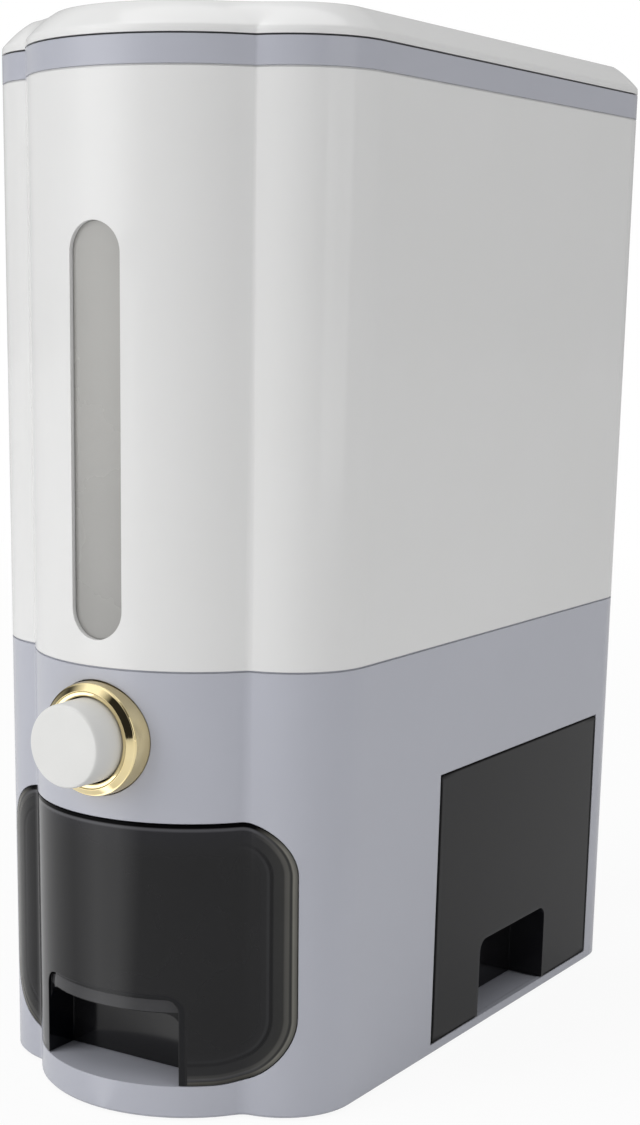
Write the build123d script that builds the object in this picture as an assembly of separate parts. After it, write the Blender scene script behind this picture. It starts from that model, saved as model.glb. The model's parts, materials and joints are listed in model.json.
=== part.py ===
from build123d import *
from math import acos, atan2, cos, degrees, hypot, radians, sin, sqrt
import os

# Millimetres, +Z up, the front faces -Y. Y is counted here from the flat front shoulders at the
# body seam. At the end all is moved so that the origin is the bottom centre of the bounding box.

# plan outline at the body seam
BODY_W = 148.35
BODY_D = 258.9
LOBE_R = 56.08
LOBE_Y = 31.46
CREASE_R = 4.5
FRONT_R = 31.65
BACK_R = 20.0
DRAFT = 0.01298
HALF_W = BODY_W / 2
LOBE_FRONT = LOBE_Y - LOBE_R
FAR = BODY_W + BODY_D

# clearances and walls
WALL = 2.4
LINING = 2.0
PANEL_GAP = 0.35
SLIDE_GAP = 0.3
RUN_GAP = 0.05
GROOVE = 0.6
EDGE_CHAMFER = 0.9

# heights
FOOT_H = 1.0
SEAM_Z = 161.7
LID_SEAM_Z = 372.0
RIM_H = 9.45
RIM_Z = LID_SEAM_Z - RIM_H
RIM_SKIRT = 8.0
RIM_LEDGE = 5.0
PLINTH_Z = 13.0
REAR_DECK_Z = 4.8
DECK_T = 2.0

# lid
LID_GAP = 0.6
LID_EDGE_H = 2.3
LID_H = 12.0
LID_TOP_Z = LID_SEAM_Z + LID_H
LID_SLOPE = 10.0
LID_BULGE = 0.7
LID_STEPS = 7
LID_TOP_CREASE = 60.0
LID_ROOF = 2.2
PLUG_T = 2.0
PLUG_H = 6.0
SEAL_EDGE = 1.2
SEAL_W = 2.8
SEAL_H = 1.4

# hinge at the back
HINGE_OUT = 5.2
KNUCKLE_R = 4.2
PIN_R = 1.6
HINGE_IN = 27.2
HINGE_X = HALF_W - HINGE_IN
LUG_HALF = 6.0
KNUCKLE_W = 6.0
HEEL_REACH = 6.9
HEEL_W = 3.0
LID_STOP = 102.0
ARM_BITE = 2.0
ARM_DROP = 0.8

# level window
WINDOW_HALF = 10.5
WINDOW_LOW = 9.2
WINDOW_DROP = 49.85
WINDOW_Z = (SEAM_Z + WINDOW_LOW, RIM_Z - WINDOW_DROP)
WINDOW_RECESS = 1.7
WINDOW_LAND = 2.5
WINDOW_FLANGE = 1.2

# dispensing button
BUTTON_DROP = 25.2
BUTTON_Z = SEAM_Z - BUTTON_DROP
RING_R = 20.4
RING_EDGE_R = 19.6
RING_CREST_R = 17.2
RING_BORE = 15.3
RING_PROUD = 5.6
RING_BAND = 2.1
RING_CONE = 7.0
RING_SET = 0.5
RING_SWELL = 0.45
RING_RISE = 0.55
RING_EASE = 0.4
RING_DEPTH = 16.2
RING_FACE_Y = LOBE_FRONT - RING_PROUD
RING_EDGE_Y = RING_FACE_Y + RING_BAND
RING_BACK_Y = RING_FACE_Y + RING_DEPTH
CAP_R = 14.8
CAP_PROUD = 12.8
CAP_SUNK = 2.7
CAP_FACE_Y = RING_FACE_Y - CAP_PROUD
CAP_BACK_Y = RING_FACE_Y + CAP_SUNK
CAP_WALL = 1.8
CAP_EDGE = 2.2
BUSH_T = 2.5
BUSH_TUBE_R = 6.5
BUSH_LEN = 18.0
BUSH_END_Y = RING_BACK_Y + BUSH_LEN
COLLAR_T = 3.1
COLLAR_R = RING_R + COLLAR_T
ROD_R = 4.0
TRAVEL = 11.5
SPRING_R = 9.0
SPRING_WIRE = 0.6
SPRING_TURNS = 7

# gate and funnel
OUTLET_FRONT = 40.2
OUTLET_LEN = 11.2
OUTLET_Y = (OUTLET_FRONT, OUTLET_FRONT + OUTLET_LEN)
OUTLET_IN = 38.175
OUTLET_HALF = HALF_W - OUTLET_IN
DECK_DROP = 37.7
GATE_DECK_T = 3.0
DECK_Z = (SEAM_Z - DECK_DROP - GATE_DECK_T, SEAM_Z - DECK_DROP)
CHUTE_H = 9.0
GATE_T = 3.0
GATE_NOSE = 26.2
GATE_TAIL = 4.6
GATE_SIDE = 4.0
GATE_Y = (OUTLET_Y[0] - GATE_NOSE, OUTLET_Y[1] + GATE_TAIL)
GATE_HALF = OUTLET_HALF + GATE_SIDE
GATE_LAND = 0.5
LUG_T = 3.5
LUG_W = 7.0
RAIL_W = 3.0
RAIL_LIP = 2.0
ROD_ROOM = 1.5
THROAT_TOP = BUTTON_Z + ROD_R + ROD_ROOM
FUNNEL_T = 2.0
SLOPES = (30.0, 42.0, 30.0)
FUNNEL_SHARE = 0.49
FUNNEL_TOP = THROAT_TOP + FUNNEL_SHARE * BODY_D

# front drawer
FRONT_IN = 11.475
FRONT_DROP = 53.7
FRONT_HALF = HALF_W - FRONT_IN
FRONT_Z = (PLINTH_Z + SLIDE_GAP, SEAM_Z - FRONT_DROP)
FRONT_TOP_R = 18.5
FRONT_LOW_R = 25.0
FRONT_REACH = 16.0
PULL_HALF = 29.0
PULL_H = 32.7
PULL_LIP_H = 26.5
PULL_TOP = PLINTH_Z + PULL_H
PULL_LIP_TOP = PLINTH_Z + PULL_LIP_H
PULL_BACK_Y = 0.0
PULL_R = 6.0
SKIN = 1.3
DIVIDER_FRONT = 86.0
DIVIDER_T = 2.0
DIVIDER_Y = (DIVIDER_FRONT, DIVIDER_FRONT + DIVIDER_T)
BIN_LIFT = 0.4
BIN_WALL = 2.0
BIN_R = 6.0
BIN_LOW_R = 25.0
FRONT_FLANGE = 8.7
FRONT_BIN_START = 7.4
FRONT_BIN_ROOM = 2.0
FRONT_BIN_DROP = 4.0
FRONT_BIN_HALF = FRONT_HALF - FRONT_FLANGE
FRONT_BIN_Y = (FRONT_BIN_START, DIVIDER_Y[0] - FRONT_BIN_ROOM)
FRONT_BIN_TOP = FRONT_Z[1] - FRONT_BIN_DROP
GUIDE_GAP = 0.6
GUIDE_T = 2.0
FRONT_GUIDE_H = 34.0
SIDE_GUIDE_H = 4.0

# side drawer
SIDE_FROM = 4.3
SIDE_TO = 25.9
SIDE_DROP = 50.7
SIDE_LIFT = 0.6
SIDE_Y = (DIVIDER_Y[1] + SIDE_FROM, BODY_D - SIDE_TO)
SIDE_Z = (REAR_DECK_Z + SIDE_LIFT, SEAM_Z - SIDE_DROP)
SIDE_R = 1.5
NOTCH_HALF = 29.5
NOTCH_ASIDE = 2.15
NOTCH_H = 31.7
NOTCH_DEPTH = 17.175
NOTCH_Y = (SIDE_Y[0] + SIDE_Y[1]) / 2 - NOTCH_ASIDE
NOTCH_TOP = REAR_DECK_Z + NOTCH_H
NOTCH_BACK_X = HALF_W - NOTCH_DEPTH
NOTCH_R = 5.0
SIDE_BIN_IN = 12.175
SIDE_BIN_NEAR = 3.7
SIDE_BIN_FAR = 4.0
SIDE_BIN_DROP = 5.0
SIDE_BIN_X = (SIDE_BIN_IN - HALF_W, NOTCH_BACK_X - LINING)
SIDE_BIN_Y = (SIDE_Y[0] + SIDE_BIN_NEAR, SIDE_Y[1] - SIDE_BIN_FAR)
SIDE_BIN_TOP = SIDE_Z[1] - SIDE_BIN_DROP

# bottom cover, screws and pads
PLATE_T = 1.4
PLATE_GAP = 0.3
SCREW_R = 1.4
SCREW_HEAD_R = 2.9
SCREW_HEAD_H = 1.0
SCREW_LEN = 6.8
BOSS_R = 3.6
SCREW_IN = 24.175
SCREW_AHEAD = 5.65
SCREW_REAR_IN = 16.175
SCREW_REAR = 12.9
SCREW_XY = ((HALF_W - SCREW_IN, FRONT_R - SCREW_AHEAD), (HALF_W - SCREW_REAR_IN, BODY_D - SCREW_REAR))
BOSS_CROWN = 1.0
BOSS_TOPS = (PLINTH_Z - DECK_T, PLINTH_Z - BOSS_CROWN)
FOOT_IN = 26.175
FOOT_BEHIND = 10.35
FOOT_REAR_IN = 18.175
FOOT_REAR = 32.9
FEET_XY = ((HALF_W - FOOT_IN, FRONT_R + FOOT_BEHIND), (HALF_W - FOOT_REAR_IN, BODY_D - FOOT_REAR))
FOOT_R = 7.0
FOOT_SINK = 0.8
BRACKET_FRONT = 16.0
BRACKET_LEN = 12.0
BRACKET_Y = (BRACKET_FRONT, BRACKET_FRONT + BRACKET_LEN)
BRACKET_IN = 18.2
BRACKET_H = 7.0


def drafted(z):
    """Outward offset of the side walls at height z."""
    return DRAFT * (z - SEAM_Z)


def point(centre, radius, angle):
    a = radians(angle)
    return (centre[0] + radius * cos(a), centre[1] + radius * sin(a))


def arc(centre, radius, start, end):
    mid = (start + end) / 2
    return ThreePointArc(*(point(centre, radius, a) for a in (start, mid, end)))


def crease_centre(radius):
    """Centre of the concave fillet between the front lobe and a front corner."""
    dx, dy = HALF_W - FRONT_R, FRONT_R - LOBE_Y
    gap = sqrt(dx * dx + dy * dy)
    near, far = LOBE_R + radius, FRONT_R + radius
    along = (near * near - far * far + gap * gap) / (2 * gap)
    aside = sqrt(near * near - along * along)
    return ((along * dx + aside * dy) / gap, LOBE_Y + (along * dy - aside * dx) / gap)


def section(e, radius=CREASE_R):
    """Plan outline moved outward by e: every arc keeps its centre."""
    crease = crease_centre(radius)
    front = (HALF_W - FRONT_R, FRONT_R)
    back = (HALF_W - BACK_R, BODY_D - BACK_R)
    turn = degrees(atan2(crease[1] - LOBE_Y, crease[0]))
    meet = degrees(atan2(crease[1] - front[1], crease[0] - front[0]))
    right = [
        arc(crease, radius - e, turn + 180, meet + 180),
        arc(front, FRONT_R + e, meet, 0),
        Line((HALF_W + e, front[1]), (HALF_W + e, back[1])),
        arc(back, BACK_R + e, 0, 90),
    ]
    left = [mirror(edge, about=Plane.YZ).edges()[0] for edge in right]
    lobe = arc((0, LOBE_Y), LOBE_R + e, turn, -180 - turn)
    rear = Line((back[0], BODY_D + e), (-back[0], BODY_D + e))
    return Wire([lobe, rear] + right + left)


def stack(levels):
    """Solid through plan outlines given as (height, offset) or (height, offset, crease radius)."""
    wires = [section(*plan).moved(Location((0, 0, z))) for z, *plan in levels]
    return Part() + Solid.make_loft(wires, ruled=True)


def tapered(z0, z1, inset=0.0):
    return stack([(z0, drafted(z0) - inset), (z1, drafted(z1) - inset)])


def block(x0, x1, y0, y1, z0, z1):
    size = (x1 - x0, y1 - y0, z1 - z0)
    return Pos((x0 + x1) / 2, (y0 + y1) / 2, (z0 + z1) / 2) * Box(*size)


def both(x0, x1, y0, y1, z0, z1):
    return block(x0, x1, y0, y1, z0, z1) + block(-x1, -x0, y0, y1, z0, z1)


def rod_y(radius, y0, y1, x=0.0, z=BUTTON_Z):
    bar = Cylinder(radius, y1 - y0)
    return Pos(x, (y0 + y1) / 2, z) * Rot(90, 0, 0) * bar


def rod_x(radius, x0, x1, y, z):
    return Pos((x0 + x1) / 2, y, z) * Rot(0, 90, 0) * Cylinder(radius, x1 - x0)


def front_tool(face, y0, y1):
    """Extrude an X-Z face from y0 to y1."""
    plane = Plane(origin=(0, y1, 0), x_dir=(1, 0, 0), z_dir=(0, -1, 0))
    return extrude(plane * face, amount=y1 - y0)


def rounded_panel(half, low, top, r_low, r_top):
    """X-Z face with its own radius for the lower and the upper corners."""
    right = [
        arc((half - r_low, low + r_low), r_low, -90, 0),
        Line((half, low + r_low), (half, top - r_top)),
        arc((half - r_top, top - r_top), r_top, 0, 90),
    ]
    left = [mirror(edge, about=Plane.YZ).edges()[0] for edge in right]
    ends = [
        Line((half - r_top, top), (r_top - half, top)),
        Line((half - r_low, low), (r_low - half, low)),
    ]
    return make_face(Wire(right + left + ends))


def drawer_outline(gap):
    low, top = FRONT_Z[0] - gap, FRONT_Z[1] + gap
    return rounded_panel(FRONT_HALF + gap, low, top, FRONT_LOW_R + gap, FRONT_TOP_R + gap)


def arch(half, low, top, radius):
    """Opening with an open foot and rounded upper corners."""
    mid = (top + low) / 2
    upper = Pos(0, mid - radius) * RectangleRounded(2 * half, top - low + 2 * radius, radius)
    return upper & Pos(0, mid) * Rectangle(2 * half, top - low)


def pull_tool(grow, top, y0, y1):
    face = arch(PULL_HALF + grow, PLINTH_Z, top + grow, PULL_R + grow)
    return front_tool(face, y0, y1)


def notch_tool(grow, x0, x1):
    face = arch(NOTCH_HALF + grow, REAR_DECK_Z, NOTCH_TOP + grow, NOTCH_R + grow)
    plane = Plane(origin=(x0, NOTCH_Y, 0), x_dir=(0, 1, 0), z_dir=(1, 0, 0))
    return extrude(plane * face, amount=x1 - x0)


def window_slot(grow):
    face = Rot(0, 0, 90) * SlotOverall(WINDOW_Z[1] - WINDOW_Z[0] + 2 * grow, 2 * (WINDOW_HALF + grow))
    return front_tool(Pos(0, sum(WINDOW_Z) / 2) * face, CAP_FACE_Y, -CAP_FACE_Y / 4)


def upright_box(x0, x1, y0, y1, z0, z1, radius):
    plan = Pos((x0 + x1) / 2, (y0 + y1) / 2, z0) * RectangleRounded(x1 - x0, y1 - y0, radius)
    return extrude(plan, amount=z1 - z0)


def frustum(grow):
    """Four planes rising from the outlet, moved outward by grow."""
    runs = [cos(radians(a)) / sin(radians(a)) for a in SLOPES]
    sides = [grow / sin(radians(a)) for a in SLOPES]
    wires = []
    for rise in (0, FUNNEL_TOP - THROAT_TOP + FUNNEL_T):
        front, side, back = (t + rise * run for t, run in zip(sides, runs))
        y0, y1 = OUTLET_Y[0] - front, OUTLET_Y[1] + back
        rect = Rectangle(2 * (OUTLET_HALF + side), y1 - y0)
        wires.append((Pos(0, (y0 + y1) / 2, THROAT_TOP + rise) * rect).wires()[0])
    return Part() + Solid.make_loft(wires, ruled=True)


def outlet_block(grow, z0, z1):
    y0, y1 = OUTLET_Y[0] - grow, OUTLET_Y[1] + grow
    return block(-OUTLET_HALF - grow, OUTLET_HALF + grow, y0, y1, z0, z1)


def mirrored(points):
    return [(sx * x, *rest) for x, *rest in points for sx in (1, -1)]


def group(solids):
    total = solids[0]
    for solid in solids[1:]:
        total += solid
    return total


nodes = {}

# base casing: drafted shell with decks, divider, drawer guides and the ring collar
base_top = SEAM_Z - GROOVE
chamfer_z = FOOT_H + EDGE_CHAMFER
outer_base = stack([
    (FOOT_H, drafted(FOOT_H) - EDGE_CHAMFER),
    (chamfer_z, drafted(chamfer_z)),
    (base_top, drafted(base_top)),
])
outer_base += stack([(base_top, drafted(base_top) - GROOVE), (SEAM_Z, drafted(SEAM_Z) - GROOVE)])
inside = tapered(0.0, SEAM_Z + WALL, WALL)
deck_low, deck_top = DECK_Z
plate_top = FOOT_H + PLATE_T
guide_x = FRONT_BIN_HALF + GUIDE_GAP
guide_y = (SIDE_BIN_Y[0] - GUIDE_GAP, SIDE_BIN_Y[1] + GUIDE_GAP)
side_guide = (SIDE_BIN_X[0], NOTCH_BACK_X - GUIDE_T - BIN_R)
guide_low, guide_top = REAR_DECK_Z - DECK_T, REAR_DECK_Z + SIDE_GUIDE_H
front_guide_y = (FRONT_REACH + GUIDE_T, DIVIDER_Y[1])
front_guide_top = PLINTH_Z + FRONT_GUIDE_H
kept = [
    block(-FAR, FAR, -FAR, DIVIDER_Y[1], PLINTH_Z - DECK_T, PLINTH_Z),
    block(-FAR, FAR, DIVIDER_Y[0], FAR, REAR_DECK_Z - DECK_T, REAR_DECK_Z),
    block(-FAR, FAR, *DIVIDER_Y, REAR_DECK_Z - DECK_T, deck_low),
    both(guide_x, guide_x + GUIDE_T, *front_guide_y, PLINTH_Z - DECK_T, front_guide_top),
    block(*side_guide, guide_y[0] - GUIDE_T, guide_y[0], guide_low, guide_top),
    block(*side_guide, guide_y[1], guide_y[1] + GUIDE_T, guide_low, guide_top),
    both(HALF_W - BRACKET_IN, FAR, *BRACKET_Y, deck_low - BRACKET_H, deck_low),
    rod_y(COLLAR_R, CAP_FACE_Y, RING_BACK_Y),
]
screw_places = []
for (x, y), top in zip(SCREW_XY, BOSS_TOPS):
    screw_places += mirrored([(x, y, top)])
for x, y, top in screw_places:
    kept.append(Pos(x, y, (plate_top + top) / 2) * Cylinder(BOSS_R, top - plate_top))
base_housing = outer_base - (inside - kept)
front_hole = front_tool(drawer_outline(PANEL_GAP), CAP_FACE_Y, FRONT_REACH)
base_housing -= front_hole & block(-FAR, FAR, -FAR, FAR, PLINTH_Z, SEAM_Z)
side_hole_y = (SIDE_Y[0] - PANEL_GAP, SIDE_Y[1] + PANEL_GAP)
side_hole_z = (SIDE_Z[0] - PANEL_GAP, SIDE_Z[1] + PANEL_GAP)
base_housing -= block(NOTCH_BACK_X, FAR, *side_hole_y, *side_hole_z)
base_housing -= rod_y(RING_R + 2 * RUN_GAP, CAP_FACE_Y, RING_BACK_Y + WALL)
screw_top = FOOT_H + SCREW_HEAD_H + SCREW_LEN
for x, y, top in screw_places:
    pilot = Cylinder(SCREW_R + RUN_GAP, screw_top + RUN_GAP)
    base_housing -= Pos(x, y, (screw_top + RUN_GAP) / 2) * pilot
nodes["base_housing"] = base_housing

# bottom cover, its pads and screws
base_plate = tapered(FOOT_H, plate_top, WALL + PLATE_GAP)
pads = []
for x, y in mirrored(FEET_XY):
    base_plate -= Pos(x, y, FOOT_H + FOOT_SINK / 2) * Cylinder(FOOT_R + RUN_GAP, FOOT_SINK)
    pads.append(Pos(x, y, (FOOT_H + FOOT_SINK) / 2) * Cylinder(FOOT_R, FOOT_H + FOOT_SINK))
screws = []
for x, y, top in screw_places:
    head_mid = FOOT_H + SCREW_HEAD_H / 2
    base_plate -= Pos(x, y, FOOT_H) * Cylinder(SCREW_R + 2 * RUN_GAP, 4 * PLATE_T)
    seat = Cone(SCREW_HEAD_R + 2 * RUN_GAP, SCREW_R + 2 * RUN_GAP, SCREW_HEAD_H)
    base_plate -= Pos(x, y, head_mid) * seat
    screw = Pos(x, y, head_mid) * Cone(SCREW_HEAD_R, SCREW_R, SCREW_HEAD_H)
    screw += Pos(x, y, screw_top - SCREW_LEN / 2) * Cylinder(SCREW_R, SCREW_LEN)
    screws.append(screw)
nodes["base_plate"] = base_plate
nodes["rubber_feet"] = group(pads)
nodes["base_screws"] = group(screws)

# hopper casing with the window slot
hopper_top = RIM_Z - GROOVE
hopper = stack([(SEAM_Z, drafted(SEAM_Z)), (hopper_top, drafted(hopper_top))])
hopper += stack([(hopper_top, drafted(hopper_top) - GROOVE), (RIM_Z, drafted(RIM_Z) - GROOVE)])
hopper -= tapered(SEAM_Z - WALL, RIM_Z + WALL, WALL)
hopper -= window_slot(0)
nodes["hopper_shell"] = hopper
pane_zone = (SEAM_Z, RIM_Z)
pane = tapered(*pane_zone) & window_slot(WINDOW_LAND)
pane -= tapered(*pane_zone, WALL + WINDOW_FLANGE)
pane -= window_slot(2 * WINDOW_LAND) - window_slot(-RUN_GAP) - tapered(*pane_zone, WALL)
pane -= window_slot(3 * WINDOW_LAND) - tapered(*pane_zone, WINDOW_RECESS)
nodes["level_window"] = pane

# funnel: four sloped sheets and a throat, closed against the casing walls
gate_low = deck_top + SLIDE_GAP
gate_top = gate_low + GATE_T
throat_low = gate_top + SLIDE_GAP
funnel = frustum(FUNNEL_T) + outlet_block(FUNNEL_T, throat_low, THROAT_TOP)
funnel &= tapered(throat_low - FUNNEL_T, FUNNEL_TOP, WALL)
funnel -= frustum(0.0)
funnel -= outlet_block(0.0, throat_low - FUNNEL_T, THROAT_TOP)
funnel -= window_slot(WINDOW_LAND + SLIDE_GAP) & block(-FAR, FAR, -FAR, RING_BACK_Y, 0, FAR)
nodes["funnel"] = funnel

# rim band with its inner skirt and the fixed hinge knuckles
rim_e = drafted(LID_SEAM_Z)
hinge_y = BODY_D + rim_e + HINGE_OUT
hinge_z = LID_SEAM_Z
rim = stack([(RIM_Z, drafted(RIM_Z)), (LID_SEAM_Z, rim_e)])
rim += tapered(RIM_Z - RIM_SKIRT, RIM_Z, WALL)
rim -= stack([
    (RIM_Z - RIM_SKIRT - WALL, drafted(RIM_Z) - RIM_LEDGE),
    (LID_SEAM_Z + WALL, rim_e - RIM_LEDGE),
])
pins = []
for sx in (1, -1):
    for a, b in ((-LUG_HALF - KNUCKLE_W, -LUG_HALF), (LUG_HALF, LUG_HALF + KNUCKLE_W)):
        lo, hi = sx * HINGE_X + a, sx * HINGE_X + b
        arm_y = hinge_y - HINGE_OUT - ARM_BITE
        rim += block(lo, hi, arm_y, hinge_y, hinge_z - KNUCKLE_R, hinge_z - ARM_DROP)
        rim += rod_x(KNUCKLE_R, lo, hi, hinge_y, hinge_z)
    span = (sx * HINGE_X - LUG_HALF - KNUCKLE_W, sx * HINGE_X + LUG_HALF + KNUCKLE_W)
    rim -= rod_x(PIN_R + RUN_GAP, *span, hinge_y, hinge_z)
    pins.append(rod_x(PIN_R, *span, hinge_y, hinge_z))
nodes["top_rim"] = rim
nodes["hinge_pins"] = group(pins)

# lid: upright edge, convex sloped face that smooths the creases out, flat top, plug, knuckles
lid_low = LID_SEAM_Z + LID_GAP
edge_top = lid_low + LID_EDGE_H
levels = [(lid_low, rim_e), (edge_top, rim_e)]
for i in range(1, LID_STEPS + 1):
    t = i / LID_STEPS
    z = edge_top + (LID_TOP_Z - edge_top) * t + 4 * LID_BULGE * t * (1 - t)
    levels.append((z, rim_e - LID_SLOPE * t, CREASE_R + (LID_TOP_CREASE - CREASE_R) * t))
lid = stack(levels)
plug_out = RIM_LEDGE + GROOVE
plug_in = plug_out + PLUG_T
lid += stack([(LID_SEAM_Z - PLUG_H, rim_e - plug_out), (edge_top, rim_e - plug_out)])
lid -= stack([
    (LID_SEAM_Z - PLUG_H - WALL, rim_e - plug_in),
    (LID_TOP_Z - 2 * LID_ROOF, rim_e - plug_in),
    (LID_TOP_Z - LID_ROOF, rim_e - plug_in - 2 * LID_ROOF),
])
# the heel's leading corner meets the rim band when the lid has turned by LID_STOP
corner = atan2(HEEL_W / 2, HEEL_REACH)
swing = hypot(HEEL_REACH, HEEL_W / 2)
heel_turn = LID_STOP - 180 + degrees(acos(HINGE_OUT / swing) + corner)
for sx in (1, -1):
    lo, hi = sx * HINGE_X - LUG_HALF + SLIDE_GAP, sx * HINGE_X + LUG_HALF - SLIDE_GAP
    lid += block(lo, hi, hinge_y - HINGE_OUT - LID_EDGE_H, hinge_y, lid_low, hinge_z + KNUCKLE_R)
    lid += rod_x(KNUCKLE_R, lo, hi, hinge_y, hinge_z)
    heel = Pos((lo + hi) / 2, hinge_y, hinge_z) * Rot(heel_turn, 0, 0)
    lid += heel * Pos(0, HEEL_REACH / 2, 0) * Box(hi - lo, HEEL_REACH, HEEL_W)
    lid -= rod_x(PIN_R + RUN_GAP, lo, hi, hinge_y, hinge_z)


def seal_ring(z0, z1, gap):
    outer, inner = rim_e - SEAL_EDGE - gap, rim_e - SEAL_EDGE - SEAL_W + gap
    return stack([(z0, outer), (z1, outer)]) - stack([(z0 - WALL, inner), (z1 + WALL, inner)])


seal_top = lid_low + SEAL_H
lid -= seal_ring(lid_low - WALL, seal_top, 0.0)
nodes["lid"] = lid
nodes["lid_gasket"] = seal_ring(LID_SEAM_Z + RUN_GAP, seal_top, RUN_GAP)

# button ring: slim side cone, rounded front band, crest and flat inner band
inner_y = RING_FACE_Y + RING_SET
band_mid = (
    (RING_EDGE_R + RING_CREST_R) / 2 + RING_SWELL,
    (RING_FACE_Y + RING_EDGE_Y) / 2 - RING_RISE,
)
ring_edges = [
    Line((RING_BORE, RING_BACK_Y), (RING_R, RING_BACK_Y)),
    Line((RING_R, RING_BACK_Y), (RING_R, RING_EDGE_Y + RING_CONE)),
    Line((RING_R, RING_EDGE_Y + RING_CONE), (RING_EDGE_R, RING_EDGE_Y)),
    ThreePointArc((RING_EDGE_R, RING_EDGE_Y), band_mid, (RING_CREST_R, RING_FACE_Y)),
    Line((RING_CREST_R, RING_FACE_Y), (RING_BORE + RING_EASE, inner_y)),
    Line((RING_BORE + RING_EASE, inner_y), (RING_BORE, inner_y + RING_SET)),
    Line((RING_BORE, inner_y + RING_SET), (RING_BORE, RING_BACK_Y)),
]
ring = revolve(make_face(Wire(ring_edges)), axis=Axis.Y)
nodes["button_ring"] = Pos(0, 0, BUTTON_Z) * ring

# bush plate behind the ring, with the rod guide tube
bush = rod_y(COLLAR_R, RING_BACK_Y, RING_BACK_Y + BUSH_T)
bush += rod_y(BUSH_TUBE_R, RING_BACK_Y, BUSH_END_Y)
bush -= rod_y(ROD_R + RUN_GAP, RING_BACK_Y - WALL, BUSH_END_Y + WALL)
nodes["rod_bush"] = bush

# button cap, rod and gate move together
cap = rod_y(CAP_R, CAP_FACE_Y, CAP_BACK_Y)
cap = fillet(cap.edges().group_by(Axis.Y)[0], CAP_EDGE)
cap -= rod_y(CAP_R - CAP_WALL, CAP_FACE_Y + CAP_WALL, CAP_BACK_Y + WALL)
nodes["button_cap"] = cap
nodes["push_rod"] = rod_y(ROD_R, CAP_FACE_Y + CAP_WALL, GATE_Y[0])
gate = block(-GATE_HALF, GATE_HALF, *GATE_Y, gate_low, gate_top)
gate += block(-LUG_W, LUG_W, GATE_Y[0], GATE_Y[0] + LUG_T, gate_low, BUTTON_Z + ROD_R + GATE_LAND)
slot_y = (OUTLET_Y[0] - TRAVEL - GATE_LAND, OUTLET_Y[0] - GATE_LAND)
gate -= block(-OUTLET_HALF, OUTLET_HALF, *slot_y, gate_low - GATE_T, gate_top + GATE_T)
nodes["gate_slide"] = gate
spring_y = (CAP_FACE_Y + CAP_WALL + SPRING_WIRE, RING_BACK_Y - SPRING_WIRE)
spring_len = spring_y[1] - spring_y[0]
coil = Helix(pitch=spring_len / SPRING_TURNS, height=spring_len, radius=SPRING_R)
start = Plane(origin=coil @ 0, z_dir=coil % 0)
wire = sweep(start * Circle(SPRING_WIRE), path=coil)
nodes["return_spring"] = Pos(0, spring_y[0], BUTTON_Z) * Rot(-90, 0, 0) * wire

# gate frame: deck, side rails and the chute over the front drawer
frame = tapered(*DECK_Z, WALL) & block(-FAR, FAR, BUSH_END_Y + ROD_R, DIVIDER_Y[1], 0, FAR)
rail = GATE_HALF + SLIDE_GAP
frame += both(rail, rail + RAIL_W, GATE_Y[0] - ROD_R, GATE_Y[1] + 2 * TRAVEL, deck_top, gate_top + RAIL_LIP)
frame += outlet_block(LINING, deck_low - CHUTE_H, deck_low)
frame -= outlet_block(0.0, deck_low - CHUTE_H - LINING, deck_top + LINING)
nodes["gate_frame"] = frame

# front drawer: curved two-layer front with the finger pull, and its bin
zone = (0.0, SEAM_Z)
behind = tapered(-WALL, SEAM_Z + WALL, WALL)
bin_y = FRONT_BIN_Y[0]
front = tapered(*zone) & front_tool(drawer_outline(0), CAP_FACE_Y, FRONT_REACH)
front -= behind - pull_tool(LINING, PULL_LIP_TOP, CAP_FACE_Y, bin_y)
front -= pull_tool(0, PULL_LIP_TOP, CAP_FACE_Y, PULL_BACK_Y)
front -= pull_tool(0, PULL_LIP_TOP, PULL_BACK_Y + LINING, bin_y + LINING)
front -= pull_tool(0, PULL_TOP, CAP_FACE_Y, PULL_BACK_Y) - tapered(-WALL, SEAM_Z + WALL, SKIN)
nodes["drawer_front"] = front
bin_low = PLINTH_Z + BIN_LIFT


def bin_section(wall):
    high = FRONT_BIN_TOP + wall + BIN_LOW_R
    face = rounded_panel(FRONT_BIN_HALF - wall, bin_low + wall, high, BIN_LOW_R - wall, BIN_R)
    return front_tool(face, 0, DIVIDER_Y[0])


front_bin = upright_box(-FRONT_BIN_HALF, FRONT_BIN_HALF, *FRONT_BIN_Y, bin_low, FRONT_BIN_TOP, BIN_R)
room = FRONT_BIN_HALF - BIN_WALL
room_y = (FRONT_BIN_Y[0] + BIN_WALL, FRONT_BIN_Y[1] - BIN_WALL)
hollow = upright_box(-room, room, *room_y, bin_low, FRONT_BIN_TOP + BIN_WALL, BIN_R - BIN_WALL)
nodes["drawer_bin"] = (front_bin & bin_section(0.0)) - (hollow & bin_section(BIN_WALL))

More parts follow.
